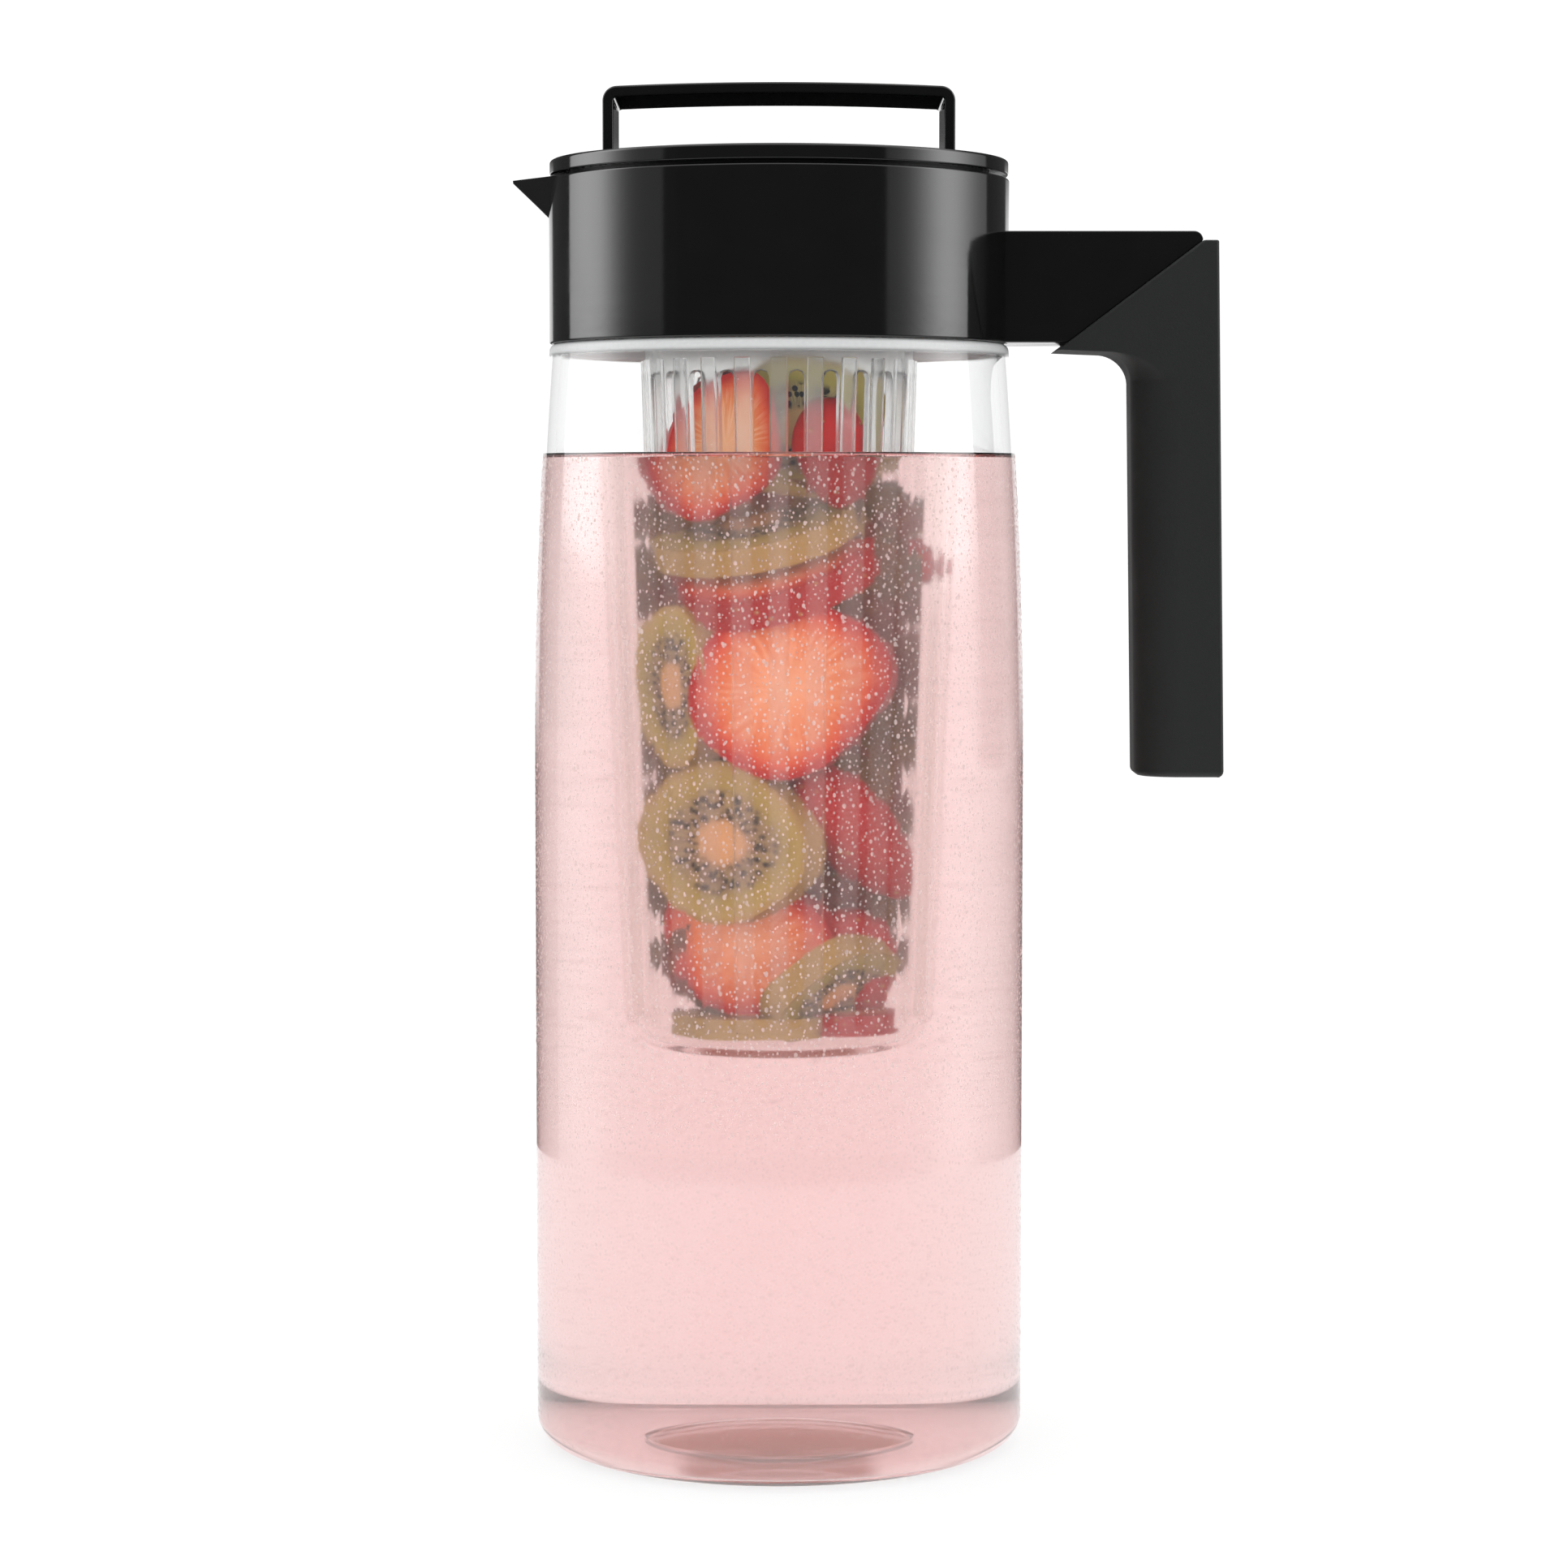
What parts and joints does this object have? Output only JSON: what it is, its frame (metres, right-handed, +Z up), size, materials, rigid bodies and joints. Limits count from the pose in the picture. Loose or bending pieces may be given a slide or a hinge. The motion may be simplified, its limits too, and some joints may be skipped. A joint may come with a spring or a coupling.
{
  "type": "fruit infuser pitcher",
  "caption": "Tall clear pitcher with a black collar, spout and side handle; its looped lid lifts out, turns to pour and carries a slotted fruit basket.",
  "frame": {"origin": "middle of the foot, on the plane the pitcher stands on", "axes": "+Z up along the jar's axis, +X towards the handle, -X towards the spout"},
  "size_m": [0.1557, 0.108, 0.2991],
  "materials": {
    "clear_plastic": "clear gloss copolyester, with condensation outside",
    "gloss_black": "gloss black moulded plastic with fine wear",
    "inner_black": "satin black moulded plastic",
    "soft_grip": "matte charcoal soft-touch skin",
    "silicone": "translucent grey silicone",
    "basket_clear": "lightly frosted clear plastic",
    "steel": "plain stainless screw"
  },
  "bodies": {
    "pitcher": {"jar": "clear_plastic", "collar": "gloss_black", "neck_gasket": "silicone", "handle_frame": "gloss_black", "grip": "soft_grip"},
    "seal_ring": {"plug_ring": "silicone"},
    "lid": {"lid_cap": "gloss_black", "lid_loop": "gloss_black", "lid_plug": "inner_black", "basket_socket": "inner_black", "lid_screws": "steel", "pour_seal": "silicone"},
    "washer": {"basket_washer": "silicone"},
    "basket": {"infuser_basket": "basket_clear"}
  },
  "joints": [
    {"name": "lid_lift", "type": "slide", "parent": "pitcher", "child": "seal_ring", "axis": [0, 0, 1], "range_m": [0, 0.2]},
    {"name": "lid_twist", "type": "hinge", "parent": "seal_ring", "child": "lid", "pos_m": [0, 0, 0.28], "axis": [0, 0, 1], "range_deg": [0, 90]},
    {"name": "basket_drop", "type": "slide", "parent": "lid", "child": "washer", "axis": [0, 0, -1], "range_m": [0, 0.018]},
    {"name": "basket_twist", "type": "hinge", "parent": "washer", "child": "basket", "pos_m": [0, 0, 0.25], "axis": [0, 0, -1], "range_deg": [0, 360]}
  ],
  "couplings": [
    {"joint": "basket_drop", "follows": "basket_twist", "m_per_rad": 0.0028647}
  ]
}
